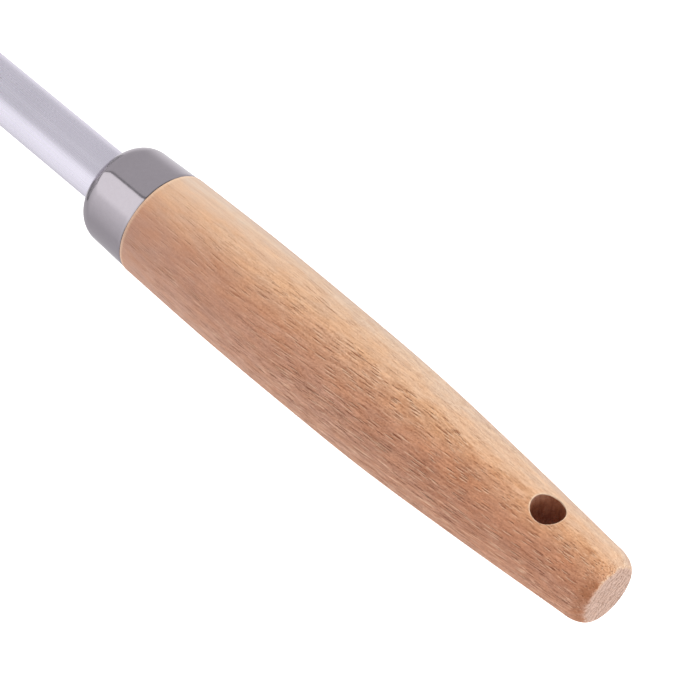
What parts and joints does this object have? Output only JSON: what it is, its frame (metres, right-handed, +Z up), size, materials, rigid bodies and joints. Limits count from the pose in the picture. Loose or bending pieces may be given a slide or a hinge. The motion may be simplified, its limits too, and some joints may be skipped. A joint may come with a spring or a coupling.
{
  "type": "beach sand scoop",
  "caption": "Hand scoop for sifting sand: a perforated open-topped steel basket with a solid cutting lip, on a short tube shaft with a turned wooden grip that has a hang hole.",
  "frame": {"origin": "floor level, under the middle of the tool's length, in its plane of symmetry", "axes": "+X along the shaft towards the grip's butt, +Y across the basket, +Z up from the basket's floor"},
  "size_m": [0.4646, 0.1274, 0.0893],
  "materials": {
    "beech": "turned and oiled beech",
    "polished_steel": "polished",
    "brushed_steel": "satin stainless",
    "basket_steel": "satin stainless sheet",
    "tang_steel": "plain steel",
    "fastener_steel": "bright stainless"
  },
  "bodies": {
    "root": {"grip": "beech", "ferrule": "polished_steel", "shaft_tube": "brushed_steel", "tang_plug": "tang_steel", "tang_rod": "tang_steel", "bracket_plate": "brushed_steel", "gusset": "brushed_steel", "back_plate": "basket_steel", "basket_tray": "basket_steel", "cutting_lip": "basket_steel", "rim_wire": "basket_steel", "bolt_1": "fastener_steel", "bolt_2": "fastener_steel", "bolt_3": "fastener_steel", "bolt_4": "fastener_steel", "washer_1": "fastener_steel", "washer_2": "fastener_steel", "washer_3": "fastener_steel", "washer_4": "fastener_steel", "nut_1": "fastener_steel", "nut_2": "fastener_steel", "nut_3": "fastener_steel", "nut_4": "fastener_steel"}
  },
  "joints": []
}
